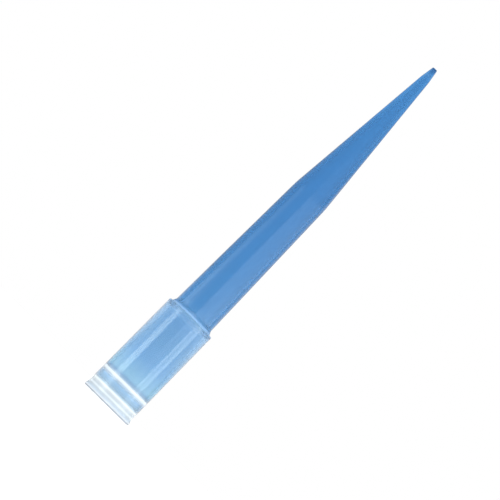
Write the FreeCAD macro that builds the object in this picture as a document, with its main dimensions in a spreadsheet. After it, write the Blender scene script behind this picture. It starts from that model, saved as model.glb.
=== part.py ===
import FreeCAD, Part
import math
import os
import Sketcher

# A pipette tip for volumes up to 1000 microlitres, injection moulded in one piece.
# It stands on the rim of its mouth with its point straight up.  The row's origin is
# the centre of the rim and +Z runs along the axis to the point.  Lengths are in mm.

SIZES = {
    # Socket: the stepped bore that grips a pipettor's nozzle, from the mouth inwards.
    "nozzle_bore": 7.94,        # diameter of the cylindrical sealing land
    "land_length": 1.33,        # height of the sealing land
    "mouth_edge": 0.20,         # straight edge under the first entry ramp
    "entry_pitch": 0.78,        # from one entry ramp to the next
    "entry_ramp": 0.32,         # height of an entry ramp
    "entry_step": 0.055,        # how far an entry ramp narrows the bore
    "entry_draft": 0.4,         # degrees, between the entry ramps
    "seal_ramp": 0.51,          # height of the ramp up to the sealing land
    "seal_step": 0.11,          # how far that ramp narrows the bore
    "grip_ramp": 0.90,          # height of the curved ramp above the land
    "grip_step": 0.11,          # how far that ramp narrows the bore
    "socket_taper": 1.75,       # degrees, the cone that follows the nozzle
    "funnel_offset": 0.50,      # from the end of the cone up to the shoulder
    "funnel_height": 1.30,      # of the funnel from that cone to the barrel's bore
    # Collar: the thin wall around the socket.
    "collar_height": 17.90,
    "land_wall": 0.35,          # wall at the foot of the sealing land
    "collar_draft": 0.17,       # degrees
    "lip_overhang": 0.20,       # how far the lip stands out from the collar
    "lip_height": 0.30,
    "lip_flare": 0.50,          # height of the slope from the lip to the collar
    # Barrel: the gently tapered middle.
    "barrel_length": 25.86,     # from the shoulder to the bend
    "barrel_bore": 5.50,        # diameter at its wide end
    "barrel_wall": 0.785,       # wall at its wide end
    "barrel_draft": 1.13,       # degrees, outside
    "bore_draft": 0.98,         # degrees, inside
    "root_height": 0.65,        # slope between the shoulder and the barrel
    "root_width": 0.335,
    # Nose: the steep cone that ends in the outlet.
    "nose_length": 27.24,
    "bore_bend": 0.40,          # the bore bends this far below the outer bend
    "outlet_bore": 0.50,        # diameter at the very end
    "outlet_length": 5.50,      # the fine last stretch of the bore
    "outlet_draft": 1.15,       # degrees
    "outlet_wall": 0.165,       # wall at the very end
    "bevel_height": 2.15,       # bevel around the end
    "bevel_width": 0.355,
    # Radii of the rounded edges.
    "rim_round": 0.07,
    "flare_round": 0.60,
    "corner_round": 0.14,
    "root_round": 0.30,
    "bend_round": 20.0,
    "funnel_round": 1.0,
    "bore_round": 12.0,
    "outlet_round": 20.0,
    "end_round": 0.05,
}

# Radii and heights that more than one feature uses, as expressions of the sheet.
LAND_RADIUS = "sizes.nozzle_bore / 2"
ENTRY_2 = "(sizes.mouth_edge + sizes.entry_pitch)"
SEAL_START = "(sizes.mouth_edge + 2 * sizes.entry_pitch)"
LAND_START = f"({SEAL_START} + sizes.seal_ramp)"
LAND_END = f"({LAND_START} + sizes.land_length)"
CONE_START = f"({LAND_END} + sizes.grip_ramp)"
CONE_END = "(sizes.collar_height - sizes.funnel_offset)"
BARREL_BORE_START = f"({CONE_END} + sizes.funnel_height)"
SHOULDER = "sizes.collar_height"
BARREL_START = "(sizes.collar_height + sizes.root_height)"
BEND = "(sizes.collar_height + sizes.barrel_length)"
END = "(sizes.collar_height + sizes.barrel_length + sizes.nose_length)"
BORE_BEND = f"({BEND} - sizes.bore_bend)"
OUTLET_START = f"({END} - sizes.outlet_length)"
BEVEL_START = f"({END} - sizes.bevel_height)"

CONE_RADIUS = f"({LAND_RADIUS} - sizes.grip_step)"
CONE_END_RADIUS = f"({CONE_RADIUS} - ({CONE_END} - {CONE_START}) * tan(sizes.socket_taper))"
BARREL_BORE_RADIUS = "sizes.barrel_bore / 2"
BORE_BEND_RADIUS = (
    f"({BARREL_BORE_RADIUS} - ({BORE_BEND} - {BARREL_BORE_START}) * tan(sizes.bore_draft))")
OUTLET_RADIUS = "sizes.outlet_bore / 2"
OUTLET_START_RADIUS = f"({OUTLET_RADIUS} + sizes.outlet_length * tan(sizes.outlet_draft))"

COLLAR_FOOT_RADIUS = f"({LAND_RADIUS} + sizes.land_wall + {LAND_START} * tan(sizes.collar_draft))"
LIP_RADIUS = f"({COLLAR_FOOT_RADIUS} + sizes.lip_overhang)"
FLARE_END = "(sizes.lip_height + sizes.lip_flare)"
FLARE_END_RADIUS = f"({COLLAR_FOOT_RADIUS} - {FLARE_END} * tan(sizes.collar_draft))"
SHOULDER_RADIUS = f"({COLLAR_FOOT_RADIUS} - {SHOULDER} * tan(sizes.collar_draft))"
BARREL_RADIUS = f"({BARREL_BORE_RADIUS} + sizes.barrel_wall)"
ROOT_RADIUS = f"({BARREL_RADIUS} + sizes.root_width)"
BEND_RADIUS = f"({BARREL_RADIUS} - ({BEND} - {BARREL_START}) * tan(sizes.barrel_draft))"
RIM_END_RADIUS = f"({OUTLET_RADIUS} + sizes.outlet_wall)"
BEVEL_RADIUS = f"({RIM_END_RADIUS} + sizes.bevel_width)"


def make_sheet(doc):
    """The spreadsheet of driving sizes: a name in column A and its number in column B."""
    sheet = doc.addObject("Spreadsheet::Sheet", "sizes")
    for row, (name, value) in enumerate(SIZES.items(), start=1):
        sheet.set(f"A{row}", name)
        sheet.set(f"B{row}", str(value))
        sheet.setAlias(f"B{row}", name)
    doc.recompute()
    return sheet


def origin_plane(body, role):
    return next(plane for plane in body.Origin.OriginFeatures if plane.Role == role)


def point_at(sheet, corner):
    """A corner's place in the sketch: its radius across and its height up."""
    radius, height = corner
    return FreeCAD.Vector(float(sheet.evalExpression(radius)), float(sheet.evalExpression(height)), 0)


def unit(vector):
    return vector / vector.Length


def turns_left(first, second):
    return first.x * second.y - first.y * second.x > 0


def arc_ends(first, second):
    """Which end of a sketched arc is its beginning: a sketch keeps arcs anticlockwise."""
    return (1, 2) if turns_left(first, second) else (2, 1)


def arc_from_tangent(start, end, direction):
    """The arc from start to end that leaves start along the unit vector direction."""
    chord = end - start
    normal = FreeCAD.Vector(-direction.y, direction.x, 0)
    signed_radius = chord.Length ** 2 / (2 * chord.dot(normal))
    centre = start + normal * signed_radius
    middle = centre + unit(start + chord / 2 - centre) * abs(signed_radius)
    return Part.Arc(start, middle, end)


def arc_in_corner(before, corner, after, radius):
    """The arc that rounds a corner between two straight sides, and its two ends."""
    to_before = unit(before - corner)
    to_after = unit(after - corner)
    half_angle = to_before.getAngle(to_after) / 2
    start = corner + to_before * (radius / math.tan(half_angle))
    end = corner + to_after * (radius / math.tan(half_angle))
    bisector = unit(to_before + to_after)
    middle = corner + bisector * (radius / math.sin(half_angle) - radius)
    return Part.Arc(start, middle, end), start, end


def add_profile(body, sheet, name, corners, curved=(), rounds=None):
    """A closed half section on the XZ plane.  Each corner is (radius, height), two
    expressions of the sheet.  A side that begins at a corner in curved is an arc that
    leaves the side before it without a kink.  A corner in rounds is rounded with the
    radius that the sheet names."""
    rounds = rounds or {}
    sketch = body.newObject("Sketcher::SketchObject", name)
    sketch.AttachmentSupport = (origin_plane(body, "XZ_Plane"), [""])
    sketch.MapMode = "FlatFace"
    points = [point_at(sheet, corner) for corner in corners]
    count = len(points)
    leaves = list(points)
    reaches = list(points)
    arcs = {}
    for corner, size in rounds.items():
        number = corners.index(corner)
        radius = float(sheet.evalExpression(f"sizes.{size}"))
        around = arc_in_corner(points[number - 1], points[number], points[(number + 1) % count], radius)
        arcs[number], reaches[number], leaves[number] = around

    ends = []
    for side in range(count):
        start = leaves[side]
        end = reaches[(side + 1) % count]
        if corners[side] in curved:
            direction = unit(start - leaves[side - 1])
            sketch.addGeometry(arc_from_tangent(start, end, direction), False)
            ends.append(arc_ends(direction, end - start))
        else:
            sketch.addGeometry(Part.LineSegment(start, end), False)
            ends.append((1, 2))

    for side, (radius, height) in enumerate(corners):
        before = (side - 1) % count
        join = (before, ends[before][1], side, ends[side][0])
        if side in arcs:
            arc = sketch.addGeometry(arcs[side], False)
            begin, end = arc_ends(points[side] - points[before], leaves[side] - points[side])
            sketch.addConstraint(Sketcher.Constraint("Tangent", *join[:2], arc, begin))
            sketch.addConstraint(Sketcher.Constraint("Tangent", arc, end, *join[2:]))
            size = rounds[corners[side]]
            bind(sketch, ("Radius", arc), size, f"sizes.{size}")
            apex = sketch.addGeometry(Part.Point(points[side]), True)
            sketch.addConstraint(Sketcher.Constraint("PointOnObject", apex, 1, before))
            sketch.addConstraint(Sketcher.Constraint("PointOnObject", apex, 1, side))
            place = (apex, 1)
        else:
            kind = "Tangent" if corners[side] in curved else "Coincident"
            sketch.addConstraint(Sketcher.Constraint(kind, *join))
            place = (side, ends[side][0])
        bind(sketch, ("DistanceX", -1, 1, *place), f"radius_{side}", radius)
        bind(sketch, ("DistanceY", -1, 1, *place), f"height_{side}", height)
    return sketch


def bind(sketch, constraint, name, expression):
    """Adds a dimension that follows the sheet.  Zero lays the point on an axis instead."""
    if expression == "0":
        axis = -2 if constraint[0] == "DistanceX" else -1
        sketch.addConstraint(Sketcher.Constraint("PointOnObject", *constraint[3:], axis))
        return
    value = float(sketch.evalExpression(expression))
    number = sketch.addConstraint(Sketcher.Constraint(*constraint, value))
    sketch.renameConstraint(number, name)
    sketch.setExpression(f"Constraints.{name}", expression)


def turn(body, kind, name, sketch):
    """Revolves a half section about the row's axis, to add material or to cut it."""
    feature = body.newObject(kind, name)
    feature.Profile = sketch
    feature.ReferenceAxis = (sketch, ["V_Axis"])
    feature.Angle = 360
    body.Document.recompute()
    sketch.Visibility = False
    return feature


def edge_names(shape, place):
    """The names of the circular edges whose radius and height are those of place."""
    names = []
    for number, edge in enumerate(shape.Edges, start=1):
        if not isinstance(edge.Curve, Part.Circle):
            continue
        if abs(edge.Curve.Radius - place.x) < 1e-4 and abs(edge.Curve.Center.z - place.y) < 1e-4:
            names.append(f"Edge{number}")
    return names


def round_edges(body, sheet, name, corners, size):
    """A fillet along the circular edges at the given corners of the section."""
    base = body.Tip
    names = []
    for corner in corners:
        found = edge_names(base.Shape, point_at(sheet, corner))
        if not found:
            raise RuntimeError(f"{name}: no edge at {corner}")
        names.extend(found)
    fillet = body.newObject("PartDesign::Fillet", name)
    fillet.Base = (base, names)
    fillet.Radius = float(sheet.evalExpression(f"sizes.{size}"))
    fillet.setExpression("Radius", f"sizes.{size}")
    body.Document.recompute()


def add_outside(body, sheet):
    """The outer form: lip, drafted collar, shoulder, barrel, nose and bevelled end."""
    corners = [
        ("0", "0"),
        (LIP_RADIUS, "0"),
        (LIP_RADIUS, "sizes.lip_height"),
        (FLARE_END_RADIUS, FLARE_END),
        (SHOULDER_RADIUS, SHOULDER),
        (ROOT_RADIUS, SHOULDER),
        (BARREL_RADIUS, BARREL_START),
        (BEND_RADIUS, BEND),
        (BEVEL_RADIUS, BEVEL_START),
        (RIM_END_RADIUS, END),
        ("0", END),
    ]
    rounds = {
        (FLARE_END_RADIUS, FLARE_END): "flare_round",
        (BARREL_RADIUS, BARREL_START): "root_round",
        (BEND_RADIUS, BEND): "bend_round",
    }
    sketch = add_profile(body, sheet, "outer_section", corners, rounds=rounds)
    turn(body, "PartDesign::Revolution", "outer_form", sketch)


def add_socket(body, sheet):
    """The bore of the collar: entry ramps, sealing land, curved grip ramp, the cone that
    follows the nozzle, and the funnel that narrows it to the barrel's bore."""
    draft = "tan(sizes.entry_draft)"
    entry_1_end = "(sizes.mouth_edge + sizes.entry_ramp)"
    entry_2_end = f"({ENTRY_2} + sizes.entry_ramp)"
    gap = "(sizes.entry_pitch - sizes.entry_ramp)"
    seal_radius = f"({LAND_RADIUS} + sizes.seal_step)"
    entry_2_end_radius = f"({seal_radius} + {gap} * {draft})"
    entry_2_radius = f"({entry_2_end_radius} + sizes.entry_step)"
    entry_1_end_radius = f"({entry_2_radius} + {gap} * {draft})"
    entry_1_radius = f"({entry_1_end_radius} + sizes.entry_step)"
    mouth_radius = f"({entry_1_radius} + sizes.mouth_edge * {draft})"
    corners = [
        ("0", "0"),
        (mouth_radius, "0"),
        (entry_1_radius, "sizes.mouth_edge"),
        (entry_1_end_radius, entry_1_end),
        (entry_2_radius, ENTRY_2),
        (entry_2_end_radius, entry_2_end),
        (seal_radius, SEAL_START),
        (LAND_RADIUS, LAND_START),
        (LAND_RADIUS, LAND_END),
        (CONE_RADIUS, CONE_START),
        (CONE_END_RADIUS, CONE_END),
        (BARREL_BORE_RADIUS, BARREL_BORE_START),
        ("0", BARREL_BORE_START),
    ]
    curved = [(seal_radius, SEAL_START), (LAND_RADIUS, LAND_END)]
    sketch = add_profile(body, sheet, "socket_section", corners, curved=curved)
    turn(body, "PartDesign::Groove", "socket", sketch)
    return mouth_radius


def add_channel(body, sheet):
    """The bore of the barrel and the nose, down to the fine outlet at the point."""
    corners = [
        ("0", CONE_END),
        (BARREL_BORE_RADIUS, CONE_END),
        (BARREL_BORE_RADIUS, BARREL_BORE_START),
        (BORE_BEND_RADIUS, BORE_BEND),
        (OUTLET_START_RADIUS, OUTLET_START),
        (OUTLET_RADIUS, END),
        ("0", END),
    ]
    rounds = {
        (BORE_BEND_RADIUS, BORE_BEND): "bore_round",
        (OUTLET_START_RADIUS, OUTLET_START): "outlet_round",
    }
    sketch = add_profile(body, sheet, "channel_section", corners, rounds=rounds)
    turn(body, "PartDesign::Groove", "channel", sketch)


def make_tip(doc, sheet):
    body = doc.addObject("PartDesign::Body", "pipette_tip")
    body.Label = "pipette_tip"
    body.Placement = FreeCAD.Placement()
    add_outside(body, sheet)
    mouth_radius = add_socket(body, sheet)
    add_channel(body, sheet)
    funnel_edges = [(CONE_END_RADIUS, CONE_END), (BARREL_BORE_RADIUS, BARREL_BORE_START)]
    round_edges(body, sheet, "funnel_fillet", funnel_edges, "funnel_round")
    round_edges(body, sheet, "corner_fillet", [(SHOULDER_RADIUS, SHOULDER)], "corner_round")
    rim_edges = [(LIP_RADIUS, "0"), (mouth_radius, "0")]
    round_edges(body, sheet, "rim_fillet", rim_edges, "rim_round")
    round_edges(body, sheet, "end_fillet", [(RIM_END_RADIUS, END)], "end_round")
    return body


def check(doc, bodies):
    """Stops before anything is written if an object failed or a solid is not sound."""
    for item in doc.Objects:
        if "Invalid" in item.State or "Error" in item.State:
            raise RuntimeError(f"{item.Name} failed: {item.State}")
    for body in bodies:
        shape = body.Shape
        if shape.isNull() or not shape.isValid():
            raise RuntimeError(f"{body.Label} has no sound shape")
        if len(shape.Solids) != 1:
            raise RuntimeError(f"{body.Label} is {len(shape.Solids)} solids")


def main():
    doc = FreeCAD.newDocument("pipette_tip_model")
    sheet = make_sheet(doc)
    bodies = [make_tip(doc, sheet)]
    doc.recompute()
    check(doc, bodies)
    os.makedirs("parts", exist_ok=True)
    for body in bodies:
        body.Shape.exportStep(f"parts/{body.Label}.step")
        box = body.Shape.optimalBoundingBox(False, False)
        print(f"{body.Label}: {box.XLength:.2f} x {box.YLength:.2f} x {box.ZLength:.2f} mm,"
              f" {body.Shape.Volume:.1f} mm3")


main()
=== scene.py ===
import math

import bpy
from mathutils import Matrix, Vector


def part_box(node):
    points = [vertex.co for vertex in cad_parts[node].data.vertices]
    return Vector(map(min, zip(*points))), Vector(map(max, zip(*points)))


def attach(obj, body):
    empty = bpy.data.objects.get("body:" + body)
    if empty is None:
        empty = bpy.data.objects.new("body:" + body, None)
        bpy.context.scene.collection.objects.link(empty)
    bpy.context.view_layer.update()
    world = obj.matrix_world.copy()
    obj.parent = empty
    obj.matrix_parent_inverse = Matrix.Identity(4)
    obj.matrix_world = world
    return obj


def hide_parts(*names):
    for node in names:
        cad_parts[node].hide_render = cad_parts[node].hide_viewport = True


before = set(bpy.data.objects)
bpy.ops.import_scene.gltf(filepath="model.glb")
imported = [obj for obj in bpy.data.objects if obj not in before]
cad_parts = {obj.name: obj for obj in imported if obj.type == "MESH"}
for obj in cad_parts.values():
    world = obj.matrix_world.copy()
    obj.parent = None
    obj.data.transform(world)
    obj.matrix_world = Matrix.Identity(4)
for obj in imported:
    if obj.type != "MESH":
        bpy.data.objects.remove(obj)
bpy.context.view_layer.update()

MM = 0.001
CM = 0.01
low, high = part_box("pipette_tip")
TIP_LENGTH = high.z - low.z
SCENE = bpy.context.scene


# ---- nodes

# The two values that a Mix node mixes are at these places among its inputs.
MIX_FLOATS = (2, 3)
MIX_COLOURS = (6, 7)


def new_material(name):
    material = bpy.data.materials.new(name)
    material.use_nodes = True
    material.node_tree.nodes.clear()
    return material, material.node_tree


def node(tree, kind, **settings):
    made = tree.nodes.new(kind)
    for name, value in settings.items():
        setattr(made, name, value)
    return made


def math_node(tree, operation, first, second=None, clamp=False):
    made = node(tree, "ShaderNodeMath", operation=operation, use_clamp=clamp)
    for socket, value in zip(made.inputs, (first, second)):
        if value is None:
            continue
        if isinstance(value, (int, float)):
            socket.default_value = value
        else:
            tree.links.new(value, socket)
    return made.outputs[0]


def vector_math(tree, operation, first, second):
    made = node(tree, "ShaderNodeVectorMath", operation=operation)
    tree.links.new(first, made.inputs[0])
    made.inputs[1].default_value = second
    return made


def mixed(tree, factor, first, second):
    made = node(tree, "ShaderNodeMix", data_type="RGBA")
    tree.links.new(factor, made.inputs["Factor"])
    for place, value in zip(MIX_COLOURS, (first, second)):
        tree.links.new(value, made.inputs[place])
    return made.outputs[2]


def colour_ramp(tree, place, stops):
    """A ramp along place, which runs from 0 to 1. The stops are (place, colour or grey)."""
    made = node(tree, "ShaderNodeValToRGB")
    ramp = made.color_ramp
    while len(ramp.elements) < len(stops):
        ramp.elements.new(1.0)
    for element, (position, value) in zip(ramp.elements, stops):
        colour = value if isinstance(value, tuple) else (value, value, value)
        element.position = position
        element.color = (*colour, 1.0)
    tree.links.new(place, made.inputs["Fac"])
    return made.outputs["Color"]


# ---- the moulded tip, turned from its section; every length of the section is in mm

SEGMENTS = 180              # around the tip
LONGEST_SIDE = 2.5          # of the strips along a straight side
ROUNDING_STEP = 9           # degrees that each strip of a rounded corner turns
LEAST_ROUNDING_STEPS = 4
CURVED_SIDE_STEPS = 6

# Slopes, in degrees a side.
COLLAR_DRAFT = 0.17
ENTRY_DRAFT = 0.4
SOCKET_TAPER = 1.75
BARREL_DRAFT = 1.13
BORE_DRAFT = 0.98
OUTLET_DRAFT = 1.15


def drafted(radius, rise, degrees):
    """The radius that much higher up on a wall that narrows upwards by so many degrees."""
    return radius - rise * math.tan(math.radians(degrees))


# Heights, from the rim up.
END = TIP_LENGTH / MM
LIP_HEIGHT = 0.30
FLARE_HEIGHT = 0.80
LAND_START = 2.27
CONE_START = 4.50
CONE_HEIGHT = 12.90
SHOULDER_HEIGHT = 17.90
BARREL_START = 18.55
BARREL_BORE_START = 18.70
BORE_BEND_HEIGHT = 43.36
BEND_HEIGHT = 43.76
OUTLET_LENGTH = 5.50
ENTRY_HEIGHT = 0.46         # of the drafted side above each entry ramp
# Radii that others follow from, and steps between them.
LAND_RADIUS = 3.97
SEAL_RADIUS = 4.08
CONE_RADIUS = 3.86
BARREL_RADIUS = 3.535
BARREL_BORE_RADIUS = 2.75
OUTLET_RADIUS = 0.25
LAND_WALL = 0.35
LIP_OVERHANG = 0.20
ROOT_WIDTH = 0.335
ENTRY_STEP = 0.055          # how far each entry ramp narrows the bore
COLLAR_RADIUS = drafted(LAND_RADIUS + LAND_WALL, -LAND_START, COLLAR_DRAFT)
LIP_RADIUS = COLLAR_RADIUS + LIP_OVERHANG

# The outside, from the rim's outer edge up to the point: radius, height, rounding.
LIP = (LIP_RADIUS, 0.0, 0.07)
LIP_TOP = (LIP_RADIUS, LIP_HEIGHT, 0.0)
FLARE_END = (drafted(COLLAR_RADIUS, FLARE_HEIGHT, COLLAR_DRAFT), FLARE_HEIGHT, 0.60)
SHOULDER = (drafted(COLLAR_RADIUS, SHOULDER_HEIGHT, COLLAR_DRAFT), SHOULDER_HEIGHT, 0.14)
ROOT = (BARREL_RADIUS + ROOT_WIDTH, SHOULDER_HEIGHT, 0.0)
BARREL_FOOT = (BARREL_RADIUS, BARREL_START, 0.30)
BEND = (drafted(BARREL_RADIUS, BEND_HEIGHT - BARREL_START, BARREL_DRAFT), BEND_HEIGHT, 20.0)
BEVEL_FOOT = (0.77, END - 2.15, 0.0)
POINT_EDGE = (0.415, END, 0.05)
# The bore, from the point back down to the mouth.
OUTLET = (OUTLET_RADIUS, END, 0.0)
OUTLET_START = (drafted(OUTLET_RADIUS, -OUTLET_LENGTH, OUTLET_DRAFT), END - OUTLET_LENGTH, 20.0)
BORE_BEND = (drafted(BARREL_BORE_RADIUS, BORE_BEND_HEIGHT - BARREL_BORE_START, BORE_DRAFT),
             BORE_BEND_HEIGHT, 12.0)
BORE_FOOT = (BARREL_BORE_RADIUS, BARREL_BORE_START, 1.0)
CONE_END = (drafted(CONE_RADIUS, CONE_HEIGHT, SOCKET_TAPER), CONE_START + CONE_HEIGHT, 1.0)
CONE_FOOT = (CONE_RADIUS, CONE_START, 0.0)
LAND_END = (LAND_RADIUS, 3.60, 0.0)
LAND_FOOT = (LAND_RADIUS, LAND_START, 0.0)
SEAL_FOOT = (SEAL_RADIUS, 1.76, 0.0)
ENTRY_2_END = (drafted(SEAL_RADIUS, -ENTRY_HEIGHT, ENTRY_DRAFT), 1.30, 0.0)
ENTRY_2 = (ENTRY_2_END[0] + ENTRY_STEP, 0.98, 0.0)
ENTRY_1_END = (drafted(ENTRY_2[0], -ENTRY_HEIGHT, ENTRY_DRAFT), 0.52, 0.0)
ENTRY_1 = (ENTRY_1_END[0] + ENTRY_STEP, 0.20, 0.0)
MOUTH = (drafted(ENTRY_1[0], -ENTRY_1[1], ENTRY_DRAFT), 0.0, 0.07)
SECTION = [LIP, LIP_TOP, FLARE_END, SHOULDER, ROOT, BARREL_FOOT, BEND, BEVEL_FOOT, POINT_EDGE,
           OUTLET, OUTLET_START, BORE_BEND, BORE_FOOT, CONE_END, CONE_FOOT, LAND_END, LAND_FOOT,
           SEAL_FOOT, ENTRY_2_END, ENTRY_2, ENTRY_1_END, ENTRY_1, MOUTH]
# The sides that reach these corners are arcs, in line there with the side that follows.
CURVED = (LAND_END, SEAL_FOOT)


def turned(direction, angle):
    return Matrix.Rotation(angle, 2) @ direction


def arc(start, end, direction, steps):
    """Points and headings along the arc that leaves start in that direction and reaches end."""
    chord = end - start
    swing = math.atan2(direction.x * chord.y - direction.y * chord.x, direction.dot(chord))
    across = chord.length / math.sin(swing)
    places = []
    for step in range(steps + 1):
        part = swing * step / steps
        point = start + turned(direction, part) * (across * math.sin(part))
        places.append((point, turned(direction, 2 * part)))
    return places


def rounded_corners(corners):
    """Where the sides reach and leave each corner, and the arc that rounds it."""
    reaches, leaves, bends = [], [], []
    for number, corner in enumerate(corners):
        before = (corners[number - 1] - corner).normalized()
        after = (corners[(number + 1) % len(corners)] - corner).normalized()
        cut = SECTION[number][2] / math.tan(before.angle(after) / 2)
        reaches.append(corner + before * cut)
        leaves.append(corner + after * cut)
        turns = math.degrees(math.pi - before.angle(after))
        steps = max(LEAST_ROUNDING_STEPS, round(turns / ROUNDING_STEP))
        bends.append(arc(reaches[-1], leaves[-1], -before, steps) if cut else [])
    return reaches, leaves, bends


def outline():
    """The section as strips: each has two ends, with a point and a heading at each."""
    corners = [Vector(corner[:2]) for corner in SECTION]
    reaches, leaves, bends = rounded_corners(corners)
    strips = []
    for number, start in enumerate(leaves):
        beyond = (number + 1) % len(corners)
        end = reaches[beyond]
        if SECTION[beyond] in CURVED:
            following = (end - corners[beyond + 1]).normalized()
            back = arc(end, start, following, CURVED_SIDE_STEPS)
            marks = [(point, -heading) for point, heading in reversed(back)]
        else:
            side = end - start
            heading = side.normalized()
            count = max(1, math.ceil(side.length / LONGEST_SIDE))
            marks = [(start + side * step / count, heading) for step in range(count + 1)]
        for places in (bends[number], marks):
            strips += list(zip(places, places[1:]))
    return strips


def make_tip_mesh():
    strips = outline()
    rings = [start[0] for start, end in strips]
    angles = [2 * math.pi * step / SEGMENTS for step in range(SEGMENTS)]
    around = [(math.cos(angle), math.sin(angle)) for angle in angles]
    points = [(ring.x * MM * x, ring.x * MM * y, ring.y * MM) for ring in rings for x, y in around]
    faces, normals = [], []
    for number, (start, end) in enumerate(strips):
        following = (number + 1) % len(strips)
        outward = [Vector((heading.y, -heading.x)) for point, heading in (start, end)]
        for step in range(SEGMENTS):
            beside = (step + 1) % SEGMENTS
            faces.append((number * SEGMENTS + step, number * SEGMENTS + beside,
                          following * SEGMENTS + beside, following * SEGMENTS + step))
            for level, place in ((0, step), (0, beside), (1, beside), (1, step)):
                x, y = around[place]
                normals.append((outward[level].x * x, outward[level].x * y, outward[level].y))
    mesh = bpy.data.meshes.new("moulded_tip")
    mesh.from_pydata(points, [], faces)
    mesh.validate()
    for face in mesh.polygons:
        face.use_smooth = True
    mesh.normals_split_custom_set(normals)
    return mesh


def make_tip(material):
    piece = bpy.data.objects.new("moulded_tip", make_tip_mesh())
    SCENE.collection.objects.link(piece)
    piece.data.materials.append(material)
    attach(piece, "root")
    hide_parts("pipette_tip")


# ---- the plastic; the stops of its ramps are (height in mm, colour or amount)

# Half way through the wall, as a radius in cm: what is further out belongs to the outside.
WALL_MIDDLE = (
    (0.0, 0.436),
    (2.3, 0.415),
    (17.4, 0.387),
    (18.6, 0.320),
    (43.5, 0.269),
    (65.5, 0.072),
    (71.0, 0.033),
)
# The colour is in the surfaces: the outside carries most of it, and the bore the rest.
OUTER_TINT_AND_PAINTED_LIGHT = (
    # The grey at the rim is painted shade: a dark line along the rim's edge.
    (0.0, (0.45, 0.50, 0.59)),
    (0.10, (0.38, 0.44, 0.54)),
    # Here over the mouth's ramps, and again at 3.78 to 4.34 mm, the white is painted reflection on
    # the outside: it carries the white of the bore's ramps behind it.
    (0.22, (0.84, 0.89, 0.95)),
    (0.42, (1.0, 1.0, 1.0)),
    (0.56, (0.74, 0.87, 1.0)),
    (0.72, (0.70, 0.855, 1.0)),
    (0.9, (0.95, 1.0, 1.0)),
    (1.45, (0.79, 0.87, 0.94)),
    (1.75, (0.97, 1.0, 1.0)),
    (2.1, (0.92, 1.0, 1.0)),
    # Painted shade: a dark line just above the mouth's ramps.
    (2.28, (0.46, 0.67, 0.91)),
    (2.5, (0.35, 0.55, 0.75)),
    (3.42, (0.40, 0.635, 0.92)),
    (3.78, (0.88, 0.94, 1.0)),
    (4.34, (0.92, 0.98, 1.0)),
    # Painted shade: a dark line just above the socket's ramp.
    (4.5, (0.26, 0.51, 0.79)),
    (4.75, (0.245, 0.52, 0.82)),
    (5.2, (0.355, 0.735, 0.99)),
    (9.0, (0.312, 0.625, 0.98)),
    (12.0, (0.365, 0.64, 0.95)),
    (17.2, (0.385, 0.66, 1.0)),
    # From 17.78 to 18.10 mm the colour is a painted highlight: a lit line round the shoulder.
    (17.78, (0.44, 0.705, 1.0)),
    (17.84, (0.37, 0.58, 0.88)),
    (18.10, (0.28, 0.49, 0.80)),
    (18.3, (0.11, 0.37, 0.75)),
    (20.0, (0.079, 0.32, 0.705)),
    (30.0, (0.067, 0.298, 0.69)),
    (45.0, (0.057, 0.263, 0.635)),
    (69.1, (0.060, 0.27, 0.63)),
    (69.6, (0.080, 0.30, 0.65)),
    (70.0, (0.052, 0.26, 0.62)),
    (71.0, (0.025, 0.13, 0.36)),
)
INNER_TINT_AND_PAINTED_REFLECTION = (
    # The white below 3.7 mm is the bore's matt ramps: partly a frosted finish and partly painted
    # reflection.
    (0.0, (0.95, 0.98, 1.0)),
    (2.3, (0.95, 0.98, 1.0)),
    (3.7, (0.95, 1.0, 1.0)),
    (4.6, (0.94, 0.82, 0.84)),
    (9.0, (0.61, 0.685, 0.775)),
    (12.0, (0.44, 0.60, 0.725)),
    (14.5, (0.39, 0.56, 0.69)),
    (16.7, (0.375, 0.55, 0.69)),
    (17.1, (0.36, 0.54, 0.68)),
    (17.5, (1.0, 1.0, 1.0)),
    (18.5, (1.0, 1.0, 1.0)),
    (18.9, (1.0, 0.88, 0.875)),
    (36.0, (1.0, 0.90, 0.90)),
    (45.0, (1.0, 0.94, 0.95)),
    (71.0, (1.0, 0.95, 0.96)),
)
# The socket's ramps are matt white, partly a frosted finish and partly painted reflection. The
# band on the shoulder is matt so that its colour shows as a painted highlight, and the rest is
# nearly clear.
MATT_AND_PAINTED_LIGHT = (
    # Over the socket's ramps the matt white is partly a frosted finish in the bore and partly
    # painted reflection, and on the outside it is painted reflection only.
    (0.0, 0.3),
    (ENTRY_1[1], 0.5),
    (0.29, 0.85),
    (0.48, 0.85),
    (0.60, 0.4),
    (0.90, 0.5),
    (1.02, 0.85),
    (1.22, 0.85),
    (1.34, 0.5),
    (1.64, 0.5),
    (1.80, 0.9),
    (2.15, 0.9),
    (2.27, 0.05),
    (3.38, 0.05),
    (3.95, 0.8),
    (4.31, 0.88),
    (4.44, 0.03),
    # The shoulder's band is matt so that its colour shows as a painted highlight line.
    (17.76, 0.03),
    (17.84, 0.75),
    (18.10, 0.75),
    (18.20, 0.03),
    (71.0, 0.03),
)
OUTSIDE_MATT = 0.85         # how much of that the outside has
MATT_BORE_TOP = 10 * MM     # the bore has all of it below this height, and none above
ROUGH_INSIDE = ((0.0, 0.20), (17.1, 0.22), (17.4, 0.75), (18.6, 0.75), (19.0, 0.38), (71.0, 0.40))
ROUGH_OUTSIDE = ((0.0, 0.15), (17.6, 0.15), (17.8, 0.5), (18.2, 0.5), (18.6, 0.12), (71.0, 0.14))
FLOW_UNEVENNESS = 0.12      # of the roughness, along the flow of the plastic
SKIN_STRENGTH = 0.12
SKIN_DEPTH = 0.01 * MM
POLYPROPYLENE_IOR = 1.49


def height_ramp(tree, height, stops):
    """A colour that changes along the tip."""
    part = math_node(tree, "DIVIDE", height, TIP_LENGTH, clamp=True)
    return colour_ramp(tree, part, [(place * MM / TIP_LENGTH, value) for place, value in stops])


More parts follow.
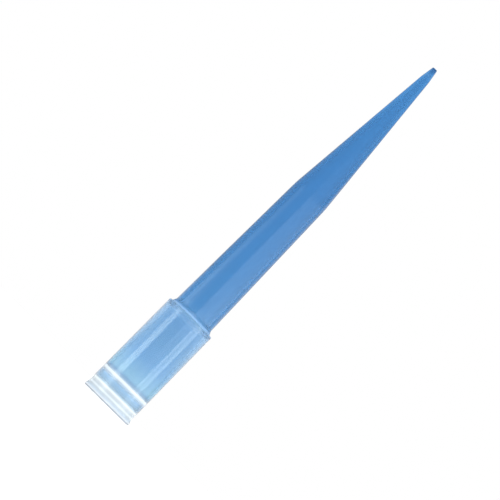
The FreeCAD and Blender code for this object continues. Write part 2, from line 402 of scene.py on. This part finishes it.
def noise(tree, place, across, along, detail, name):
    """Noise with about that many grains to a millimetre across the tip and along it."""
    stretched = vector_math(tree, "MULTIPLY", place, (across / MM, across / MM, along / MM))
    made = node(tree, "ShaderNodeTexNoise", name=name)
    made.inputs["Scale"].default_value = 1.0
    made.inputs["Detail"].default_value = detail
    tree.links.new(stretched.outputs[0], made.inputs["Vector"])
    return made.outputs["Fac"]


def make_plastic():
    """Blue translucent polypropylene: clear in the thin collar, deeper in the barrel and nose,
    and matt white on the socket's ramps, partly a frosted finish and partly painted reflection.
    Painted shade darkens the rim and a line above each ramp, and a painted highlight lights a
    line on the shoulder."""
    material, tree = new_material("tinted_polypropylene")
    output = node(tree, "ShaderNodeOutputMaterial")
    shader = node(tree, "ShaderNodeBsdfPrincipled")
    tree.links.new(shader.outputs["BSDF"], output.inputs["Surface"])
    shader.inputs["IOR"].default_value = POLYPROPYLENE_IOR
    place = node(tree, "ShaderNodeTexCoord").outputs["Object"]
    parts = node(tree, "ShaderNodeSeparateXYZ")
    tree.links.new(place, parts.inputs[0])
    height = parts.outputs["Z"]
    from_axis = vector_math(tree, "MULTIPLY", place, (1, 1, 0))
    length = node(tree, "ShaderNodeVectorMath", operation="LENGTH")
    tree.links.new(from_axis.outputs[0], length.inputs[0])
    radius = math_node(tree, "MULTIPLY", length.outputs["Value"], 1 / CM)
    outside = math_node(tree, "GREATER_THAN", radius, height_ramp(tree, height, WALL_MIDDLE))

    tint_and_painted_light = mixed(tree, outside, height_ramp(tree, height, INNER_TINT_AND_PAINTED_REFLECTION),
                 height_ramp(tree, height, OUTER_TINT_AND_PAINTED_LIGHT))
    tree.links.new(tint_and_painted_light, shader.inputs["Base Color"])

    inside = math_node(tree, "SUBTRACT", 1.0, outside)
    matt_bore = math_node(tree, "MULTIPLY", inside,
                          math_node(tree, "LESS_THAN", height, MATT_BORE_TOP))
    share = math_node(tree, "ADD", math_node(tree, "MULTIPLY", outside, OUTSIDE_MATT), matt_bore)
    # The matt amount: the ramps' matt white, partly frosted and partly painted reflection, and the
    # shoulder's painted highlight band.
    matt = math_node(tree, "MULTIPLY", height_ramp(tree, height, MATT_AND_PAINTED_LIGHT), share)
    tree.links.new(math_node(tree, "SUBTRACT", 1.0, matt), shader.inputs["Transmission Weight"])

    rough = mixed(tree, outside, height_ramp(tree, height, ROUGH_INSIDE),
                  height_ramp(tree, height, ROUGH_OUTSIDE))
    flow = noise(tree, place, across=2.0, along=0.15, detail=3.0, name="flow_lines")
    uneven = math_node(tree, "MULTIPLY", math_node(tree, "SUBTRACT", flow, 0.5), FLOW_UNEVENNESS)
    tree.links.new(math_node(tree, "ADD", rough, uneven, clamp=True), shader.inputs["Roughness"])

    bump = node(tree, "ShaderNodeBump")
    bump.inputs["Strength"].default_value = SKIN_STRENGTH
    bump.inputs["Distance"].default_value = SKIN_DEPTH
    skin = noise(tree, place, across=6.0, along=2.0, detail=2.0, name="skin")
    tree.links.new(skin, bump.inputs["Height"])
    tree.links.new(bump.outputs["Normal"], shader.inputs["Normal"])
    return material


make_tip(make_plastic())


# ---- the floor

FLOOR_REACH = 4.0           # from the tip to each edge
FLOOR_GAP = 0.02 * MM       # under the rim, so that the two faces don't flicker
FLOOR_GREY = 0.8
FLOOR_GLOW = 0.2            # added for the rays that see the floor directly


def seen_directly(tree):
    """One for the rays that see the background itself, straight or through the tip."""
    rays = node(tree, "ShaderNodeLightPath")
    seen = math_node(tree, "MAXIMUM", rays.outputs["Is Camera Ray"],
                     rays.outputs["Is Glossy Ray"])
    return math_node(tree, "MAXIMUM", seen, rays.outputs["Is Transmission Ray"])


def make_floor():
    material, tree = new_material("floor_white")
    output = node(tree, "ShaderNodeOutputMaterial")
    paper = node(tree, "ShaderNodeBsdfDiffuse")
    paper.inputs["Color"].default_value = (FLOOR_GREY, FLOOR_GREY, FLOOR_GREY, 1.0)
    glow = node(tree, "ShaderNodeEmission")
    tree.links.new(math_node(tree, "MULTIPLY", seen_directly(tree), FLOOR_GLOW),
                   glow.inputs["Strength"])
    both = node(tree, "ShaderNodeAddShader")
    tree.links.new(paper.outputs[0], both.inputs[0])
    tree.links.new(glow.outputs[0], both.inputs[1])
    tree.links.new(both.outputs[0], output.inputs["Surface"])
    mesh = bpy.data.meshes.new("floor")
    edges = ((-1, -1), (1, -1), (1, 1), (-1, 1))
    mesh.from_pydata([(x * FLOOR_REACH, y * FLOOR_REACH, 0) for x, y in edges], [], [(0, 1, 2, 3)])
    floor = bpy.data.objects.new("floor", mesh)
    SCENE.collection.objects.link(floor)
    floor.location.z = low.z - FLOOR_GAP
    mesh.materials.append(material)


make_floor()


# ---- the tent: how bright it is around the tip, from the back at -1 to the camera's side at 1

TENT_LIGHT = 1.0            # the white behind the tip, which also lights matt surfaces
TENT_LOW = ((-1.0, 0.3), (-0.97, 0.4), (-0.93, 1.2), (-0.8, 1.2), (-0.62, 1.0), (-0.45, 0.8),
            (0.3, 0.7), (0.68, 0.5), (1.0, 0.45))
TENT_HIGH = ((-1.0, 0.1), (-0.97, 0.1), (-0.93, 0.5), (-0.62, 0.45), (-0.3, 0.4), (0.3, 0.4),
             (0.68, 0.35), (1.0, 0.35))
LOW_END, HIGH_START = 0.06, 0.10    # sines of the elevations where one gives way to the other


def tent_wall(tree, facing, stops):
    place = math_node(tree, "DIVIDE", math_node(tree, "ADD", facing, 1.0), 2.0)
    return colour_ramp(tree, place, [((cosine + 1) / 2, level) for cosine, level in stops])


def make_world():
    """A white tent. What the gloss mirrors is dim towards the open front and brighter near
    the floor at the sides; what lights matt surfaces is even."""
    world = bpy.data.worlds.new("studio")
    SCENE.world = world
    world.use_nodes = True
    tree = world.node_tree
    tree.nodes.clear()
    output = node(tree, "ShaderNodeOutputWorld")
    sky = node(tree, "ShaderNodeBackground")
    rays = node(tree, "ShaderNodeLightPath")
    direction = node(tree, "ShaderNodeTexCoord").outputs["Generated"]
    facing = vector_math(tree, "DOT_PRODUCT", direction, (0, -1, 0)).outputs["Value"]
    rise = vector_math(tree, "DOT_PRODUCT", direction, (0, 0, 1)).outputs["Value"]
    upwards = node(tree, "ShaderNodeMapRange")
    tree.links.new(rise, upwards.inputs["Value"])
    upwards.inputs["From Min"].default_value = LOW_END
    upwards.inputs["From Max"].default_value = HIGH_START
    walls = mixed(tree, upwards.outputs["Result"], tent_wall(tree, facing, TENT_LOW),
                  tent_wall(tree, facing, TENT_HIGH))
    mirrored = math_node(tree, "SUBTRACT", rays.outputs["Is Glossy Ray"],
                         rays.outputs["Is Transmission Ray"], clamp=True)
    chosen = node(tree, "ShaderNodeMix", data_type="FLOAT")
    even, walled = MIX_FLOATS
    tree.links.new(mirrored, chosen.inputs["Factor"])
    chosen.inputs[even].default_value = TENT_LIGHT
    tree.links.new(walls, chosen.inputs[walled])
    tree.links.new(chosen.outputs[0], sky.inputs["Strength"])
    tree.links.new(sky.outputs[0], output.inputs["Surface"])
    sky.inputs["Color"].default_value = (1, 1, 1, 1)


make_world()


# ---- the lamps; only reflections and matt surfaces see them

WHITE = (1.0, 1.0, 1.0)
CRISP = (0.88, 1.0, 0.98)
PALE = (0.76, 0.90, 1.0)
COOL = (0.60, 0.80, 1.0)
BOX_DISTANCE = 0.6
WIDEST_BOX = 40             # degrees of the arc that one flat box may fill
# Name, azimuth from the camera's side, spread, bottom, top, radiance, colour. The azimuth and
# the spread are in degrees, with the left side negative, and the heights are in metres.
SOFT_BOXES = (
    ("strip_left", -56.5, 25, 0.004, 0.066, 5.8, CRISP),
    ("soft_left_low", -88, 42, 0.010, 0.036, 1.9, COOL),
    ("soft_left_mid", -83, 32, 0.036, 0.052, 1.6, COOL),
    ("soft_left_middle", -81, 30, 0.060, 0.094, 2.4, COOL),
    ("soft_left_high", -73, 30, 0.094, 0.120, 1.3, COOL),
    ("soft_left_top", -66, 26, 0.120, 0.180, 0.85, COOL),
    ("strip_right", 53, 34, 0.004, 0.062, 2.8, CRISP),
    ("strip_right_a", 41.5, 8, 0.008, 0.054, 2.8, CRISP),
    ("strip_right_b", 62.5, 13, 0.010, 0.062, 2.8, CRISP),
    ("soft_right_low", 88, 32, 0.004, 0.034, 1.4, PALE),
    ("soft_right", 56, 108, 0.034, 0.098, 1.75, PALE),
    ("soft_right_high", 56, 108, 0.098, 0.160, 1.38, PALE),
    ("soft_right_top", 50, 96, 0.160, 0.275, 0.5, PALE),
    ("back_right", 136, 40, 0.070, 0.200, 0.35, WHITE),
    ("low_front", -4, 60, 0.002, 0.026, 0.6, WHITE),
    ("high_left", -100, 84, 0.300, 0.600, 0.6, COOL),
    ("high_right", 100, 84, 0.300, 0.600, 0.6, COOL),
)
TOP_BOX_SIZE = 0.5
TOP_BOX_RADIANCE = 2.5
TOP_BOX_PLACE = (0, -0.5, 0.75)
TOP_BOX_TILT = 34           # degrees from straight down, towards the tip


def area_lamp(name, width, height, radiance, colour, place, turn):
    data = bpy.data.lights.new(name, "AREA")
    data.shape = "RECTANGLE"
    data.size = width
    data.size_y = height
    data.energy = radiance * math.pi * data.size * data.size_y
    data.color = colour
    lamp = bpy.data.objects.new(name, data)
    lamp.location = place
    lamp.rotation_euler = turn
    lamp.visible_camera = False
    lamp.visible_transmission = False
    SCENE.collection.objects.link(lamp)


def soft_box(name, azimuth, spread, bottom, top, radiance, colour):
    """Upright boxes that stand side by side on an arc around the tip and face it."""
    count = math.ceil(spread / WIDEST_BOX)
    width = 2 * BOX_DISTANCE * math.tan(math.radians(spread / count / 2))
    for number in range(count):
        angle = math.radians(azimuth + spread * ((number + 0.5) / count - 0.5))
        place = (BOX_DISTANCE * math.sin(angle), -BOX_DISTANCE * math.cos(angle),
                 (top + bottom) / 2)
        area_lamp(name, width, top - bottom, radiance, colour, place, (math.radians(90), 0, angle))


for box in SOFT_BOXES:
    soft_box(*box)
area_lamp("top_front", TOP_BOX_SIZE, TOP_BOX_SIZE, TOP_BOX_RADIANCE, WHITE, TOP_BOX_PLACE,
          (math.radians(TOP_BOX_TILT), 0, 0))


# ---- the camera

CAMERA_PLACE = (-0.00081, -0.2796, 0.0015)
CAMERA_PITCH = 6.11         # degrees that it looks up by
CAMERA_ROLL = 44.5          # degrees
CAMERA_LENS = 135.0
SENSOR_WIDTH = 36.0
NEAREST, FURTHEST = 0.01, 50.0


def make_camera():
    data = bpy.data.cameras.new("camera")
    camera = bpy.data.objects.new("camera", data)
    SCENE.collection.objects.link(camera)
    SCENE.camera = camera
    data.lens = CAMERA_LENS
    data.sensor_width = SENSOR_WIDTH
    data.clip_start = NEAREST
    data.clip_end = FURTHEST
    pitch = math.radians(CAMERA_PITCH)
    roll = math.radians(CAMERA_ROLL)
    forward = Vector((0, math.cos(pitch), math.sin(pitch)))
    level = Vector((1, 0, 0))
    right = math.cos(roll) * level + math.sin(roll) * level.cross(forward)
    axes = Matrix((right, right.cross(forward), -forward)).transposed()
    camera.matrix_world = Matrix.Translation(CAMERA_PLACE) @ axes.to_4x4()


make_camera()
SCENE.view_settings.view_transform = "Standard"
